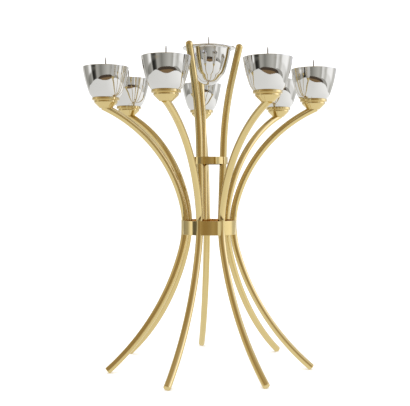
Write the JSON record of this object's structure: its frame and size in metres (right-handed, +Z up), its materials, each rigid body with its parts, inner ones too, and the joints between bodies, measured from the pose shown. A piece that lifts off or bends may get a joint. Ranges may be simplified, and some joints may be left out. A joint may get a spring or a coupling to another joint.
{
  "type": "tabletop candelabra",
  "caption": "Tabletop candelabra: bent brass tubes tied at the waist are legs and arms at once, each with a deep nickel bowl and a candle spike.",
  "frame": {"origin": "on the centre line at table height, midway between the feet", "axes": "+Z up along the centre line; +X from the centre line towards arm_1 and rod_1"},
  "size_m": [0.438, 0.4468, 0.6],
  "materials": {
    "brass": "polished",
    "nickel": "mirror",
    "steel": "plain"
  },
  "bodies": {
    "root": {"arm_1": "brass", "arm_2": "brass", "arm_3": "brass", "arm_4": "brass", "arm_5": "brass", "arm_6": "brass", "arm_7": "brass", "foot_cap_1": "brass", "foot_cap_2": "brass", "foot_cap_3": "brass", "foot_cap_4": "brass", "foot_cap_5": "brass", "foot_cap_6": "brass", "foot_cap_7": "brass", "collar_1": "brass", "collar_2": "brass", "collar_3": "brass", "collar_4": "brass", "collar_5": "brass", "collar_6": "brass", "collar_7": "brass", "bowl_1": "nickel", "bowl_2": "nickel", "bowl_3": "nickel", "bowl_4": "nickel", "bowl_5": "nickel", "bowl_6": "nickel", "bowl_7": "nickel", "spike_1": "nickel", "spike_2": "nickel", "spike_3": "nickel", "spike_4": "nickel", "spike_5": "nickel", "spike_6": "nickel", "spike_7": "nickel", "waist_strap_1": "brass", "waist_strap_2": "brass", "waist_strap_3": "brass", "waist_strap_4": "brass", "waist_strap_5": "brass", "waist_strap_6": "brass", "waist_strap_7": "brass", "rod_1": "brass", "rod_2": "brass", "rod_3": "brass", "rod_cap_1": "brass", "rod_cap_2": "brass", "rod_cap_3": "brass", "hub_screw_1": "steel", "hub_screw_2": "steel", "hub_screw_3": "steel", "hub_plate": "brass", "spacer_ring": "brass", "carrier_ring": "nickel", "centre_bowl": "nickel", "centre_spike": "nickel"}
  },
  "joints": []
}
